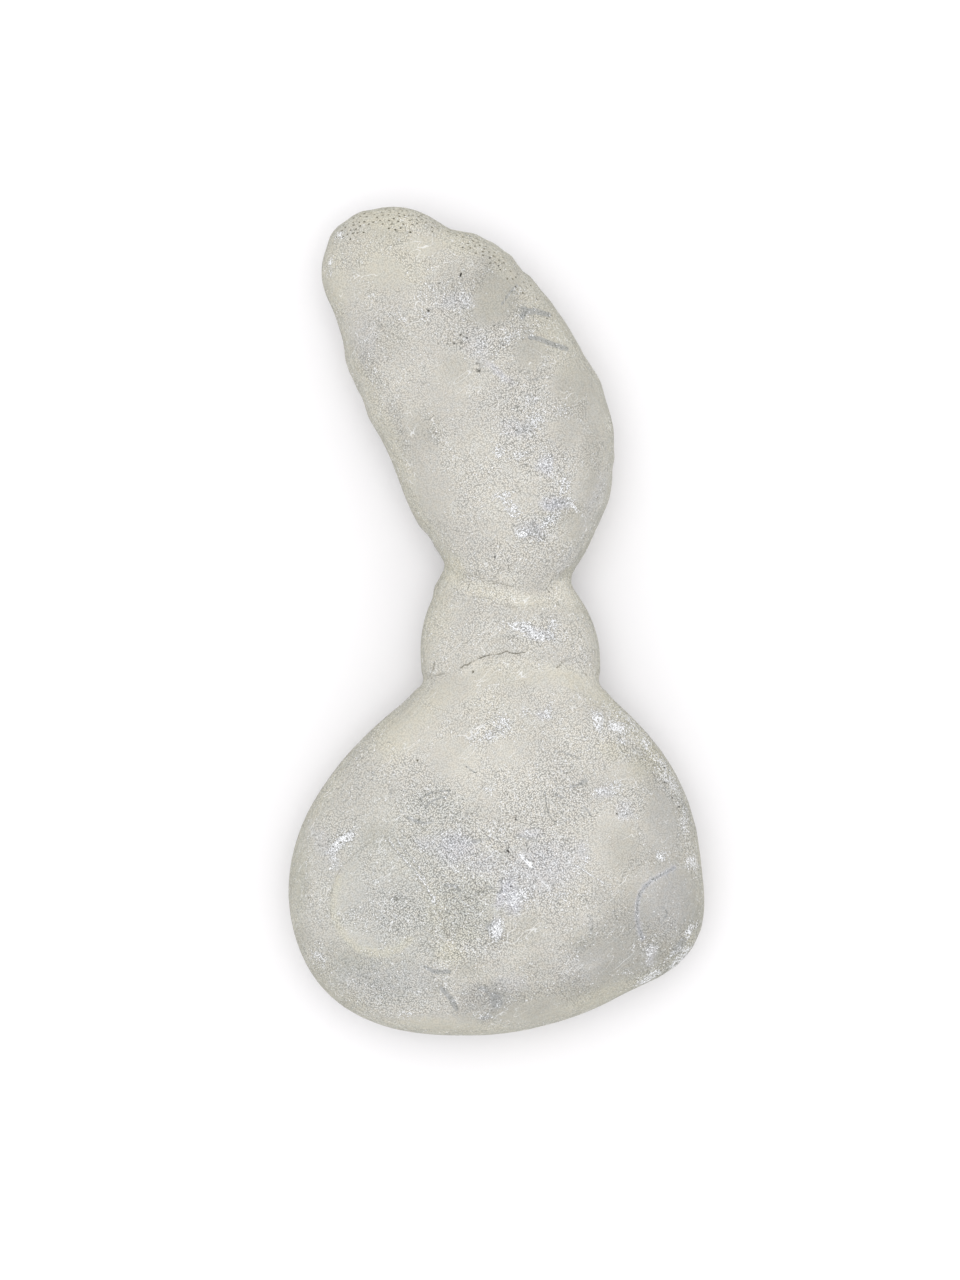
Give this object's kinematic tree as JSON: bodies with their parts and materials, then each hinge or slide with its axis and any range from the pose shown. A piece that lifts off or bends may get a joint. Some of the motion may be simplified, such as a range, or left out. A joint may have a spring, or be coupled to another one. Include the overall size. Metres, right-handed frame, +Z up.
{
  "type": "fairy stone concretion",
  "caption": "Flat natural stone of fused round lobes: a broad belly, a waist and a long leaning upper lobe with a knob, lying on its worn side.",
  "frame": {"origin": "on the flat worn side, under the middle of the stone's bounding box", "axes": "+Y runs along the stone from the broad belly to the knob; +Z points up, away from the worn side it rests on; +X points right when the knob is at the top and the stone is seen from above"},
  "size_m": [0.0352, 0.0701, 0.0143],
  "materials": {
    "stone": "dry, matt, finely granular skin"
  },
  "bodies": {
    "root": {"stone": "stone"}
  },
  "joints": []
}
